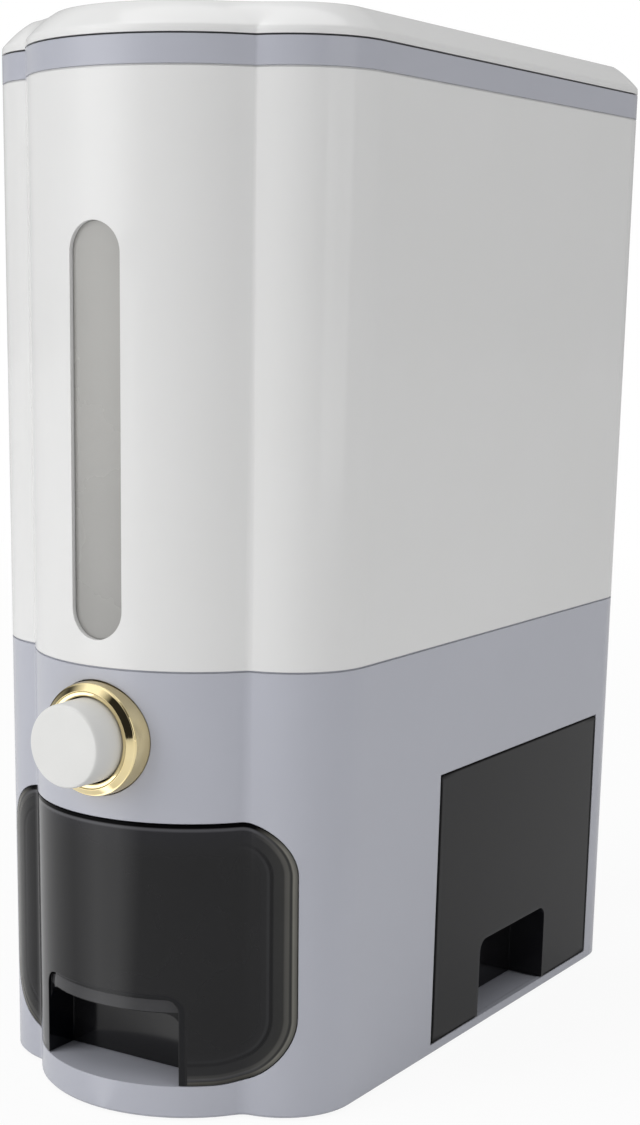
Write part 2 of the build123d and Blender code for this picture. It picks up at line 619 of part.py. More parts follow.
# side drawer: flat flush front with the finger notch, and its bin
side_face = Pos(sum(SIDE_Y) / 2, sum(SIDE_Z) / 2) * RectangleRounded(
    SIDE_Y[1] - SIDE_Y[0], SIDE_Z[1] - SIDE_Z[0], SIDE_R
)
side_plane = Plane(origin=(SIDE_BIN_X[1], 0, 0), x_dir=(0, 1, 0), z_dir=(1, 0, 0))
side_front = tapered(*zone) & extrude(side_plane * side_face, amount=HALF_W)
side_front -= behind - notch_tool(LINING, SIDE_BIN_X[1], FAR)
side_front -= notch_tool(0, NOTCH_BACK_X, FAR)
nodes["side_drawer_front"] = side_front
low = REAR_DECK_Z + BIN_LIFT
side_bin = upright_box(*SIDE_BIN_X, *SIDE_BIN_Y, low, SIDE_BIN_TOP, BIN_R)
nodes["side_drawer_bin"] = side_bin - upright_box(
    SIDE_BIN_X[0] + BIN_WALL, SIDE_BIN_X[1] - BIN_WALL, SIDE_BIN_Y[0] + BIN_WALL, SIDE_BIN_Y[1] - BIN_WALL,
    low + BIN_WALL, SIDE_BIN_TOP + BIN_WALL, BIN_R - BIN_WALL,
)

# origin: bottom centre of the bounding box
back_y = max(nodes["lid"].bounding_box().max.Y, nodes["top_rim"].bounding_box().max.Y)
shift_y = -(CAP_FACE_Y + back_y) / 2
print("moved in y by", shift_y)

os.makedirs("parts", exist_ok=True)
for name, solid in nodes.items():
    placed = Pos(0, shift_y, 0) * solid
    print(name, len(placed.solids()), round(placed.volume), placed.is_valid)
    export_step(placed, f"parts/{name}.step")
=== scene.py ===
import json
import math

import bmesh
import bpy
import numpy as np
from mathutils import Matrix, Vector


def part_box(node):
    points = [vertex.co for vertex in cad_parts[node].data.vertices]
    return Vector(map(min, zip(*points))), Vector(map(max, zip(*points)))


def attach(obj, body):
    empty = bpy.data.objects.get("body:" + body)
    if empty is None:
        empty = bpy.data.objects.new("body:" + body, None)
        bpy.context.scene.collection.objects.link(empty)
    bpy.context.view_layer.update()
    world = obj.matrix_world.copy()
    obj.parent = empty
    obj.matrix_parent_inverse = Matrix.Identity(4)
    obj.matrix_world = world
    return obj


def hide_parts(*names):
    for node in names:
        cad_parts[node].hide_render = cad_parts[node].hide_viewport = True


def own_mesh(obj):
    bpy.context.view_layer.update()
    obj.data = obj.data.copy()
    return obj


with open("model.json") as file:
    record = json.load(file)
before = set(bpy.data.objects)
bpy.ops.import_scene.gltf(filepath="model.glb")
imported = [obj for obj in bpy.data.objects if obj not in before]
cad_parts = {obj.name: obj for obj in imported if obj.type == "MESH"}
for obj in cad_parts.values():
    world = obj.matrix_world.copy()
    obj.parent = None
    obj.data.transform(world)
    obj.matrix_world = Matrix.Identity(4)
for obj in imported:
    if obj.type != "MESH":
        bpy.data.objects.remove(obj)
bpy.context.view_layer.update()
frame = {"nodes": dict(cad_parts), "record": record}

nodes = frame["nodes"]


def linear(hexText):
    # sRGB hex to the linear values that the shader sockets take
    channels = [int(hexText[i:i + 2], 16) / 255 for i in (1, 3, 5)]
    curved = [c / 12.92 if c <= 0.04045 else ((c + 0.055) / 1.055) ** 2.4 for c in channels]
    return (*curved, 1.0)


def addNode(tree, kind, settings=None, sockets=None, links=None):
    node = tree.nodes.new(kind)
    for name, value in (settings or {}).items():
        setattr(node, name, value)
    for name, value in (sockets or {}).items():
        node.inputs[name].default_value = value
    for name, source in (links or {}).items():
        tree.links.new(source, node.inputs[name])
    return node


def perMetre(millimetres):
    # a noise scale of 1 repeats about once a metre
    return 1000.0 / millimetres


noiseSpan = (0.3, 0.7)  # nearly all values of a noise texture lie between these
reliefMm = {"peel": 0.2, "flow": 0.3, "plating": 0.1}  # full height of each surface's relief


def newMaterial(name):
    material = bpy.data.materials.new(name)
    material.use_nodes = True
    tree = material.node_tree
    tree.nodes.clear()
    output = addNode(tree, "ShaderNodeOutputMaterial")
    coords = addNode(tree, "ShaderNodeTexCoord").outputs["Object"]
    return material, tree, output, coords


def wipedRoughness(tree, coords, look):
    # roughness in patches, as on a surface wiped by hand
    wipe = addNode(tree, "ShaderNodeTexNoise", None,
                   {"Scale": perMetre(look["wipeMm"]), "Detail": 4.0}, {"Vector": coords})
    rough = addNode(tree, "ShaderNodeMapRange", None,
                    {"From Min": noiseSpan[0], "From Max": noiseSpan[1],
                     "To Min": look["roughness"][0], "To Max": look["roughness"][1]},
                    {"Value": wipe.outputs["Fac"]})
    return wipe.outputs["Fac"], rough.outputs["Result"]


def mouldedPlastic(name, look):
    # injection-moulded plastic: nearly even colour with a faint flow mottle, gloss broken by
    # very shallow mould texture, roughness uneven where it was wiped, moulded edges softened
    material, tree, output, coords = newMaterial(name)
    mottle = addNode(tree, "ShaderNodeTexNoise", None,
                     {"Scale": perMetre(look["mottleMm"]), "Detail": 3.0}, {"Vector": coords})
    tint = addNode(tree, "ShaderNodeMix", {"data_type": "RGBA"},
                   {"A": linear(look["shade"]), "B": linear(look["colour"])},
                   {"Factor": mottle.outputs["Fac"]})
    colour = tint.outputs["Result"]
    if "shadeFallMm" in look:
        # painted shade: a translucent wall is painted darker towards its lower end, where less
        # light comes through it from behind
        height = addNode(tree, "ShaderNodeSeparateXYZ", None, {}, {0: coords}).outputs["Z"]
        shadeFall = addNode(tree, "ShaderNodeMapRange", None,
                       {"From Min": look["shadeFallMm"][0] / 1000, "From Max": look["shadeFallMm"][1] / 1000,
                        "To Min": look["shadeFallTo"], "To Max": 1.0}, {"Value": height})
        colour = addNode(tree, "ShaderNodeVectorMath", {"operation": "SCALE"}, {},
                         {0: colour, "Scale": shadeFall.outputs["Result"]}).outputs[0]
    peel = addNode(tree, "ShaderNodeTexNoise", None,
                   {"Scale": perMetre(look["peelMm"]), "Detail": 2.0}, {"Vector": coords})
    _, rough = wipedRoughness(tree, coords, look)
    edge = addNode(tree, "ShaderNodeBevel", {"samples": 3}, {"Radius": look["edgeMm"] / 1000})
    bump = addNode(tree, "ShaderNodeBump", None,
                   {"Strength": look["peelStrength"], "Distance": reliefMm["peel"] / 1000},
                   {"Height": peel.outputs["Fac"], "Normal": edge.outputs["Normal"]})
    shader = addNode(tree, "ShaderNodeBsdfPrincipled", None, {"IOR": look["ior"]},
                     {"Base Color": colour, "Roughness": rough, "Normal": bump.outputs["Normal"]})
    tree.links.new(shader.outputs["BSDF"], output.inputs["Surface"])
    return material


whiteGlossAbs = mouldedPlastic("white_gloss_abs", {
    "colour": "#E8E8E8", "shade": "#E4E4E3", "mottleMm": 70.0, "peelMm": 5.0, "edgeMm": 0.3,
    "peelStrength": 0.05, "wipeMm": 45.0, "roughness": (0.10, 0.17), "ior": 1.53})
greyAbs = mouldedPlastic("grey_abs", {
    "colour": "#B9BBC5", "shade": "#B4B6C0", "mottleMm": 60.0, "peelMm": 4.0, "edgeMm": 0.5,
    "peelStrength": 0.06, "wipeMm": 40.0, "roughness": (0.16, 0.25), "ior": 1.53})
whitePolypropylene = mouldedPlastic("white_polypropylene", {
    "colour": "#E2E1DC", "shade": "#DBDAD4", "mottleMm": 40.0, "peelMm": 2.0, "edgeMm": 0.3,
    "peelStrength": 0.1, "wipeMm": 30.0, "roughness": (0.35, 0.45), "ior": 1.49})
satinWhiteAbs = mouldedPlastic("satin_white_abs", {
    "colour": "#E4E4E2", "shade": "#DEDEDC", "mottleMm": 20.0, "peelMm": 0.9, "edgeMm": 0.1,
    "peelStrength": 0.16, "wipeMm": 18.0, "roughness": (0.38, 0.46), "ior": 1.5})
frostedStyrene = mouldedPlastic("frosted_polystyrene", {
    "colour": "#ACABA8", "shade": "#A2A19E", "mottleMm": 35.0, "peelMm": 1.0, "edgeMm": 0.5,
    "peelStrength": 0.15, "wipeMm": 25.0, "roughness": (0.22, 0.32), "ior": 1.59,
    # painted shade: the window is painted darker towards its lower end
    "shadeFallMm": (174.0, 261.0), "shadeFallTo": 0.76})
acetal = mouldedPlastic("acetal", {
    "colour": "#DCDBD6", "shade": "#D5D4CE", "mottleMm": 25.0, "peelMm": 2.0, "edgeMm": 0.2,
    "peelStrength": 0.08, "wipeMm": 20.0, "roughness": (0.3, 0.4), "ior": 1.48})
padRubber = mouldedPlastic("pad_rubber", {
    "colour": "#2A2A2A", "shade": "#232323", "mottleMm": 8.0, "peelMm": 0.8, "edgeMm": 0.2,
    "peelStrength": 0.3, "wipeMm": 10.0, "roughness": (0.6, 0.75), "ior": 1.5})
sealSilicone = mouldedPlastic("seal_silicone", {
    "colour": "#4A4A4C", "shade": "#434345", "mottleMm": 20.0, "peelMm": 1.0, "edgeMm": 0.2,
    "peelStrength": 0.1, "wipeMm": 15.0, "roughness": (0.45, 0.55), "ior": 1.42})


def smokedPlastic(name, look):
    # smoked polystyrene: near black where a second wall lies behind it; in the single wall along
    # the
    # outline, painted light: olive and lighter, for the light that comes through from the grey
    # casing, with painted highlight lines and painted dark lines along the edges
    material, tree, output, coords = newMaterial(name)
    apart = addNode(tree, "ShaderNodeSeparateXYZ", None, {}, {0: coords})
    values = {"across": apart.outputs[look["across"]], "z": apart.outputs["Z"]}
    centre, half = look["centreMm"], look["halfMm"]
    lowerR, upperR = look["cornersMm"]
    # depth from a rounded outline: with q = distance past the straight part of each side plus
    # the corner radius, it is r - length(max(q, 0)) - min(max(qx, qz), 0)
    sums = [
        ("side", "SUBTRACT", "across", centre[0] / 1000), ("side", "ABSOLUTE", "side", 0.0),
        ("rise", "SUBTRACT", "z", centre[1] / 1000), ("upper", "GREATER_THAN", "rise", 0.0),
        ("radius", "MULTIPLY", "upper", (upperR - lowerR) / 1000),
        ("radius", "ADD", "radius", lowerR / 1000),
        ("rise", "ABSOLUTE", "rise", 0.0),
        ("qx", "SUBTRACT", "side", half[0] / 1000), ("qx", "ADD", "qx", "radius"),
        ("qz", "SUBTRACT", "rise", half[1] / 1000), ("qz", "ADD", "qz", "radius"),
        ("ox", "MAXIMUM", "qx", 0.0), ("oz", "MAXIMUM", "qz", 0.0),
        ("ox", "MULTIPLY", "ox", "ox"), ("oz", "MULTIPLY", "oz", "oz"),
        ("far", "ADD", "ox", "oz"), ("far", "SQRT", "far", 0.0),
        ("near", "MAXIMUM", "qx", "qz"), ("near", "MINIMUM", "near", 0.0),
        ("depth", "SUBTRACT", "radius", "far"), ("depth", "SUBTRACT", "depth", "near"),
    ]
    pull = look["pull"]
    pastBands = 0.03  # metres of added depth, more than the widest border
    leanPerMetre, leanStart = 60.0, 0.3  # how a border turns from upright to level at a corner
    sums += [
        # inside the finger pull's surround the wall is doubled again, so no band shows
        ("shift", "SUBTRACT", "across", pull["centreMm"] / 1000),
        ("shift", "ABSOLUTE", "shift", 0.0),
        ("inSide", "LESS_THAN", "shift", pull["halfMm"] / 1000),
        ("under", "LESS_THAN", "z", pull["topMm"] / 1000),
        ("inPull", "MULTIPLY", "inSide", "under"),
        ("added", "MULTIPLY", "inPull", pastBands), ("depth", "ADD", "depth", "added"),
        ("share", "MULTIPLY", "depth", 1000 / look["bandMm"]),
        # reach is the distance past the pull's straight sides and top, less its corner radius:
        # within the radius lies the thin skin above the recess, just outside it the moulded rim
        ("sx", "SUBTRACT", "shift", (pull["skinHalfMm"] - pull["cornerMm"]) / 1000),
        ("sz", "SUBTRACT", "z", (pull["skinMm"][1] - pull["cornerMm"]) / 1000),
        ("sx", "MAXIMUM", "sx", 0.0), ("sz", "MAXIMUM", "sz", 0.0),
        ("sx", "MULTIPLY", "sx", "sx"), ("sz", "MULTIPLY", "sz", "sz"),
        ("reach", "ADD", "sx", "sz"), ("reach", "SQRT", "reach", 0.0),
        ("within", "LESS_THAN", "reach", pull["cornerMm"] / 1000),
        ("around", "LESS_THAN", "reach", (pull["cornerMm"] + pull["rimMm"]) / 1000),
        ("rim", "SUBTRACT", "around", "within"),
        ("above", "GREATER_THAN", "z", pull["skinMm"][0] / 1000),
        ("skin", "MULTIPLY", "within", "above"),
        # 1 along the upper edge, part of it along the lower one, 0 along the upright ones
        ("level", "MULTIPLY", "upper", 1.0 - look["lowerShare"]),
        ("level", "ADD", "level", look["lowerShare"]),
        ("lean", "SUBTRACT", "qz", "qx"), ("lean", "MULTIPLY", "lean", leanPerMetre),
        ("lean", "ADD", "lean", leanStart), ("lean", "MAXIMUM", "lean", 0.0),
        ("lean", "MINIMUM", "lean", 1.0), ("lean", "MULTIPLY", "lean", "level"),
    ]
    for result, operation, first, second in sums:
        links, sockets = {0: values[first]}, {}
        if isinstance(second, str):
            links[1] = values[second]
        else:
            sockets[1] = second
        values[result] = addNode(tree, "ShaderNodeMath", {"operation": operation},
                                 sockets, links).outputs[0]
    # each band's alpha is its share of the gloss: a groove gives back little light
    # the bands are painted light and shade: light through the single wall, highlight lines and dark
    # lines along the outline
    ramps = {}
    for bandName in ("bands", "levelBands"):
        ramp = addNode(tree, "ShaderNodeValToRGB", None, {}, {"Fac": values["share"]})
        steps = ramp.color_ramp.elements
        for place, colour, gloss in look[bandName]:
            stop = steps.new(min(1.0, place / look["bandMm"]))
            stop.color = (*linear(colour)[:3], gloss)
        steps.remove(steps[0])
        steps.remove(steps[-1])
        ramps[bandName] = ramp.outputs
    # painted light and shade of the border: the upright bands turn into the level bands at the
    # corners
    border = addNode(tree, "ShaderNodeMix", {"data_type": "RGBA"}, {},
                     {"Factor": values["lean"], "A": ramps["bands"]["Color"],
                      "B": ramps["levelBands"]["Color"]})
    gloss = addNode(tree, "ShaderNodeMix", {"data_type": "FLOAT"}, {},
                    {"Factor": values["lean"], "A": ramps["bands"]["Alpha"],
                     "B": ramps["levelBands"]["Alpha"]})
    specular = addNode(tree, "ShaderNodeMath", {"operation": "MULTIPLY"},
                       {1: look["specular"]}, {0: gloss.outputs["Result"]})
    # the rim around the pull's thin skin is painted its own colour
    framed = addNode(tree, "ShaderNodeMix", {"data_type": "RGBA"},
                     {"B": linear(pull["rimColour"])},
                     {"Factor": values["rim"], "A": border.outputs["Result"]})
    flow = addNode(tree, "ShaderNodeTexNoise", None,
                   {"Scale": perMetre(look["flowMm"]), "Detail": 4.0, "Distortion": 0.6},
                   {"Vector": coords})
    lift = addNode(tree, "ShaderNodeMapRange", None,
                   {"From Min": noiseSpan[0], "From Max": noiseSpan[1],
                    "To Min": 1 - look["flowSwing"], "To Max": 1 + look["flowSwing"]},
                   {"Value": flow.outputs["Fac"]})
    # painted light: the thin skin above the recess takes its own colour, lighter on the front
    # drawer, for the light that comes through it
    thin = addNode(tree, "ShaderNodeMix", {"data_type": "RGBA"},
                   {"B": linear(pull["skinColour"])},
                   {"Factor": values["skin"], "A": framed.outputs["Result"]})
    tint = addNode(tree, "ShaderNodeVectorMath", {"operation": "SCALE"}, {},
                   {0: thin.outputs["Result"], "Scale": lift.outputs["Result"]})
    _, rough = wipedRoughness(tree, coords, look)
    edge = addNode(tree, "ShaderNodeBevel", {"samples": 4}, {"Radius": look["edgeMm"] / 1000})
    bump = addNode(tree, "ShaderNodeBump", None,
                   {"Strength": look["flowStrength"], "Distance": reliefMm["flow"] / 1000},
                   {"Height": flow.outputs["Fac"], "Normal": edge.outputs["Normal"]})
    shader = addNode(tree, "ShaderNodeBsdfPrincipled", None, {"IOR": look["ior"]},
                     {"Base Color": tint.outputs[0], "Roughness": rough,
                      "Specular IOR Level": specular.outputs[0],
                      "Normal": bump.outputs["Normal"]})
    tree.links.new(shader.outputs["BSDF"], output.inputs["Surface"])
    return material


def panelPlace(nodeName, across):
    # centre and half size of a drawer front, in mm, seen along its pull
    low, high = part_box(nodeName)
    pick = {"X": 0, "Y": 1}[across]
    centre = tuple(1000 * (low[axis] + high[axis]) / 2 for axis in (pick, 2))
    half = tuple(1000 * (high[axis] - low[axis]) / 2 for axis in (pick, 2))
    return centre, half


frontCentre, frontHalf = panelPlace("drawer_front", "X")
smokedFront = smokedPlastic("smoked_polystyrene_front", {
    "across": "X", "centreMm": frontCentre, "halfMm": frontHalf, "cornersMm": (25.0, 18.5),
    "bandMm": 12.0, "flowMm": 40.0, "flowSwing": 0.12, "flowStrength": 0.06, "wipeMm": 40.0,
    "roughness": (0.08, 0.14), "ior": 1.5, "edgeMm": 0.5, "specular": 0.28, "lowerShare": 0.55,
    # painted light and shade along the upright edges and partly the lower one: a painted highlight
    # line at the very edge, a dark line, lighter olive bands for light through the single wall, a
    # dark line where the bin's wall stands behind, and a painted highlight just inside it
    "bands": ((0.0, "#55544F", 1.0), (1.1, "#76746D", 1.0), (1.5, "#2A2A29", 1.0),
              (1.9, "#2A2A29", 1.0), (2.4, "#504F4B", 1.0), (3.3, "#4A4946", 1.0),
              (3.9, "#282827", 1.0), (6.7, "#252525", 1.0), (7.2, "#0D0D0F", 0.85),
              (7.9, "#0D0D0F", 0.85), (8.4, "#262628", 1.0), (8.9, "#262628", 1.0),
              (9.4, "#1A1A1C", 1.0), (11.9, "#151517", 1.0)),
    # painted reflections along the top edge, and partly the lower one: a near-black line with
    # little gloss, then a painted highlight line where the edge rounds over
    "levelBands": ((0.0, "#020203", 0.1), (1.2, "#020203", 0.1), (1.7, "#48484C", 1.0),
                   (2.2, "#48484C", 1.0), (2.8, "#1A1A1F", 1.0), (8.0, "#18181B", 1.0),
                   (11.9, "#151517", 1.0)),
    # in the pull, painted light: the thin skin above the recess is painted lighter, for light
    # coming through it, and the rim around it is painted near black
    "pull": {"centreMm": 0.0, "halfMm": 31.5, "topMm": 48.0, "skinHalfMm": 28.6,
             "skinMm": (39.8, 44.2), "cornerMm": 4.5, "rimMm": 2.2,
             "skinColour": "#3A3A3C", "rimColour": "#07080D"}})
sideCentre, sideHalf = panelPlace("side_drawer_front", "Y")
smokedSide = smokedPlastic("smoked_polystyrene_side", {
    "across": "Y", "centreMm": sideCentre, "halfMm": sideHalf, "cornersMm": (1.5, 1.5),
    "bandMm": 6.0, "flowMm": 45.0, "flowSwing": 0.12, "flowStrength": 0.06, "wipeMm": 40.0,
    "roughness": (0.10, 0.16), "ior": 1.5, "edgeMm": 0.4, "specular": 0.16, "lowerShare": 1.0,
    # painted shade and light along the edges: a near-black gap line with little gloss, then a
    # lighter painted highlight strip where the edge rounds over, on the upright sides here and
    # along the top and bottom in the level bands
    "bands": ((0.0, "#020203", 0.1), (1.4, "#020203", 0.15), (2.0, "#171719", 1.0),
              (3.6, "#1B1B1D", 1.0), (4.4, "#101012", 1.0), (5.9, "#141416", 1.0)),
    "levelBands": ((0.0, "#020203", 0.1), (0.5, "#020203", 0.15), (1.0, "#171719", 1.0),
                   (2.0, "#161618", 1.0), (5.9, "#141416", 1.0)),
    # in the pull, the rim around the thin skin is painted a little lighter than the face
    "pull": {"centreMm": sideCentre[0] - 2.15, "halfMm": 31.5, "topMm": 38.5,
             "skinHalfMm": 29.4, "skinMm": (36.4, 36.5), "cornerMm": 5.0, "rimMm": 1.7,
             "skinColour": "#141416", "rimColour": "#1D1D20"}})
smokedStyrene = mouldedPlastic("smoked_polystyrene", {
    "colour": "#1D1D1F", "shade": "#18181A", "mottleMm": 50.0, "peelMm": 6.0, "edgeMm": 0.3,
    "peelStrength": 0.04, "wipeMm": 40.0, "roughness": (0.09, 0.16), "ior": 1.5})


def platedMetal(name, look):
    # polished plating: clean mirror with a trace of hand-wiped unevenness and, where the
    # buffing left it, a fine orange peel
    material, tree, output, coords = newMaterial(name)
    wipe, rough = wipedRoughness(tree, coords, look)
    tint = addNode(tree, "ShaderNodeMix", {"data_type": "RGBA"},
                   {"A": linear(look["shade"]), "B": linear(look["colour"])}, {"Factor": wipe})
    bump = addNode(tree, "ShaderNodeBump", None,
                   {"Strength": look["peel"], "Distance": reliefMm["plating"] / 1000},
                   {"Height": wipe})
    shader = addNode(tree, "ShaderNodeBsdfPrincipled", None, {"Metallic": 1.0},
                     {"Base Color": tint.outputs["Result"], "Roughness": rough,
                      "Normal": bump.outputs["Normal"]})
    tree.links.new(shader.outputs["BSDF"], output.inputs["Surface"])
    return material


goldPlating = platedMetal("gold_plated_abs", {
    "colour": "#F8E9BE", "shade": "#F1DDA4", "wipeMm": 6.0, "peel": 0.1,
    "roughness": (0.06, 0.12)})
zincSteel = platedMetal("zinc_plated_steel", {
    "colour": "#C9CACB", "shade": "#B5B6B8", "wipeMm": 3.0, "peel": 0.2,
    "roughness": (0.25, 0.4)})

finishes = {
    "base_housing": greyAbs, "base_plate": greyAbs, "top_rim": greyAbs,
    "hopper_shell": whiteGlossAbs, "lid": whiteGlossAbs,
    "funnel": whitePolypropylene, "gate_frame": whitePolypropylene,
    "level_window": frostedStyrene, "button_ring": goldPlating, "button_cap": satinWhiteAbs,
    "drawer_front": smokedFront, "drawer_bin": smokedStyrene,
    "side_drawer_front": smokedSide, "side_drawer_bin": smokedStyrene,
    "rod_bush": acetal, "push_rod": acetal, "gate_slide": acetal,
    "rubber_feet": padRubber, "lid_gasket": sealSilicone,
    "base_screws": zincSteel, "hinge_pins": zincSteel, "return_spring": zincSteel,
}
for nodeName, finish in finishes.items():
    mesh = nodes[nodeName].data
    for index in range(max(1, len(mesh.materials))):
        if index < len(mesh.materials):
            mesh.materials[index] = finish
        else:
            mesh.materials.append(finish)
print("materials on", len(finishes), "frame nodes")


def softCorners(corners, steps):
    # each corner of the profile becomes an arc: a quadratic curve from the point at its
    # radius before the corner to the point at its radius after it, never past mid side
    mostShare = 0.49
    points = [np.array(corners[0][:2])]
    t = np.linspace(0, 1, steps)[:, None]
    for before, here, after in zip(corners, corners[1:], corners[2:]):
        mid, reach = np.array(here[:2]), here[2]
        inward = np.array(before[:2]) - mid
        onward = np.array(after[:2]) - mid
        first = mid + inward * min(mostShare, reach / np.linalg.norm(inward))
        last = mid + onward * min(mostShare, reach / np.linalg.norm(onward))
        points.extend((1 - t) ** 2 * first + 2 * t * (1 - t) * mid + t ** 2 * last)
    points.append(np.array(corners[-1][:2]))
    return np.array(points)


mergeReach = 1e-6  # points closer than this, in metres, are one point


def addPiece(name, points, faces, material, body, standsFor):
    mesh = bpy.data.meshes.new(name)
    mesh.from_pydata(points.tolist(), [], faces)
    mesh.validate()
    mesh.polygons.foreach_set("use_smooth", np.ones(len(mesh.polygons), dtype=bool))
    mesh.materials.append(material)
    piece = bpy.data.objects.new(name, mesh)
    bpy.context.collection.objects.link(piece)
    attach(piece, body)
    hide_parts(*standsFor)
    return piece


def turned(profile, around):
    # surface of revolution: point (a, u) is the profile's (radius, depth) at u, with the
    # radius turned through the angle a; ends on the axis close as a single point
    angles = np.linspace(0, 2 * math.pi, around, endpoint=False)[:, None]
    radius, depth = profile[None, :, 0], profile[None, :, 1]
    grid = np.stack([radius * np.cos(angles), radius * np.sin(angles),
                     depth + 0 * angles], axis=-1)
    points = grid.reshape(-1, 3)
    count = profile.shape[0]
    a, u = np.meshgrid(np.arange(around), np.arange(count - 1), indexing="ij")
    nextA = (a + 1) % around
    quads = np.stack([a * count + u, nextA * count + u, nextA * count + u + 1,
                      a * count + u + 1], axis=-1).reshape(-1, 4)
    return points, quads


def gridFaces(rows, around, start=0):
    # each face joins points a and a + 1 of row r to the same ones of row r + 1, round and closed
    r, a = np.meshgrid(np.arange(rows - 1), np.arange(around), indexing="ij")
    onward = (a + 1) % around
    return (start + np.stack([r * around + a, r * around + onward, (r + 1) * around + onward,
                              (r + 1) * around + a], axis=-1)).reshape(-1, 4)


def closeSeams(piece):
    # merges the points that meet on the axis and turns the faces outward
    work = bmesh.new()
    work.from_mesh(piece.data)
    bmesh.ops.remove_doubles(work, verts=work.verts, dist=mergeReach)
    bmesh.ops.dissolve_degenerate(work, dist=mergeReach / 10, edges=work.edges)
    bmesh.ops.recalc_face_normals(work, faces=work.faces)
    work.to_mesh(piece.data)
    work.free()


ringLow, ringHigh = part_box("button_ring")
buttonX, buttonZ = (ringLow[0] + ringHigh[0]) / 2, (ringLow[2] + ringHigh[2]) / 2


def facingFront(points, front):
    # lays a turned shape on the button's axis, its depth running back from the front
    return np.stack([buttonX + points[:, 0], front + points[:, 2], buttonZ + points[:, 1]], -1)


ringLook = {
    "around": 160, "cornerSteps": 7,
    # radius, depth behind the front and corner size, all in mm
    "corners": ((15.3, 16.2, 0), (15.3, 0.9, 0.4), (15.7, 0.55, 0.2), (16.85, 0.6, 0.2),
                (17.25, 0.0, 0.22), (19.3, 1.75, 0.3), (19.7, 1.85, 0.2),
                (19.95, 2.5, 0.4), (20.4, 9.1, 1.5), (20.4, 16.2, 0.05), (15.3, 16.2, 0)),
}
ringProfile = softCorners(ringLook["corners"], ringLook["cornerSteps"]) / 1000
points, quads = turned(ringProfile, ringLook["around"])
ring = addPiece("buttonRing", facingFront(points, ringLow[1]), quads.tolist(), goldPlating,
                "housing", ["button_ring"])
closeSeams(ring)

capLow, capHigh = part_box("button_cap")
capDepth = (capHigh[1] - capLow[1]) * 1000
capLook = {
    "around": 128, "cornerSteps": 9,
    # gently crowned face, rounded rim, side drawn out to full size, hollow behind
    "corners": ((0.0, 0.0, 0), (7.0, 0.05, 3.0), (12.9, 0.22, 1.0), (14.5, 0.4, 1.7),
                (14.75, 6.0, 2.0), (14.8, capDepth, 0.1), (13.0, capDepth, 0.3),
                (13.0, 1.8, 0.8), (0.0, 1.8, 0)),
}
capProfile = softCorners(capLook["corners"], capLook["cornerSteps"]) / 1000
points, quads = turned(capProfile, capLook["around"])
cap = addPiece("buttonCap", facingFront(points, capLow[1]), quads.tolist(), satinWhiteAbs,
               "dispense_button", ["button_cap"])
closeSeams(cap)
print("button ring and cap turned")

springLow, springHigh = (1000 * np.array(corner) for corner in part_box("return_spring"))
# closedPitch is the rise of a closed end turn, in radii of the wire
springLook = {"wireR": 0.6, "turns": 7.0, "closedTurns": 0.9, "closedPitch": 2.1,
              "stepsPerTurn": 44, "wireSteps": 12, "travel": 11.5}


def springWire(look, low, high):
    # a coil: the wire's centre turns about the button's axis while its depth rises by little
    # more than a wire's width in each closed end turn and evenly in between; round the wire,
    # point = centre + r * (cos(p) * outward + sin(p) * binormal), r falling to 0 at both ends
    coilR = (high[0] - low[0]) / 2 - look["wireR"]
    share = np.linspace(0, 1, int(look["turns"] * look["stepsPerTurn"]) + 1)
    turn = share * look["turns"]
    start, end = low[1] + look["wireR"], high[1] - look["wireR"]
    closed = look["closedTurns"] * look["closedPitch"] * look["wireR"]
    depth = np.interp(turn, [0, look["closedTurns"], look["turns"] - look["closedTurns"],
                             look["turns"]], [start, start + closed, end - closed, end])
    angle = 2 * math.pi * turn
    outward = np.stack([np.cos(angle), 0 * angle, np.sin(angle)], -1)
    centre = coilR * outward + np.stack([0 * angle, depth, 0 * angle], -1)
    along = np.gradient(centre, axis=0)
    along /= np.linalg.norm(along, axis=1, keepdims=True)
    binormal = np.cross(along, outward)
    radius = np.full(len(share), look["wireR"])
    radius[[0, -1]] = 0.0
    p = np.linspace(0, 2 * math.pi, look["wireSteps"], endpoint=False)[None, :, None]
    ring = np.cos(p) * outward[:, None] + np.sin(p) * binormal[:, None]
    return centre[:, None] + radius[:, None, None] * ring


wire = springWire(springLook, springLow, springHigh) / 1000 + (buttonX, 0, buttonZ)
spring = addPiece("returnSpring", wire.reshape(-1, 3),
                  gridFaces(wire.shape[0], wire.shape[1]).tolist(), zincSteel, "housing",
                  ["return_spring"])
closeSeams(spring)
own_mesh(spring)
print("return spring wound")

lidTop = 1000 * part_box("lid")[1][2]
hinge = next(joint for joint in frame["record"]["behaviour"]["joints"]
             if joint["name"] == "lid_hinge")
hingeOut = 5.2  # mm from the lid's rear face to the hinge axis
lidLook = {
    "halfWidth": 74.175, "depth": 258.9, "offset": 2.73, "slope": 10.0, "bulge": 2.8,
    "lobe": (31.46, 56.08), "frontR": 31.65, "backR": 20.0, "crease": (4.5, 60.0),
    "seam": 372.6, "edge": 374.9, "rear": 1000 * hinge["pos_m"][1] - hingeOut,
    "arcSteps": (48, 14, 26, 12, 18), "slopeRows": 22, "topRows": 6, "crown": 0.3,
    # a row just under the edge, and a small step back at the edge itself, keep it crisp
    "edgeRow": 1.2, "edgeStep": 0.12, "sharpDegrees": 35,
}


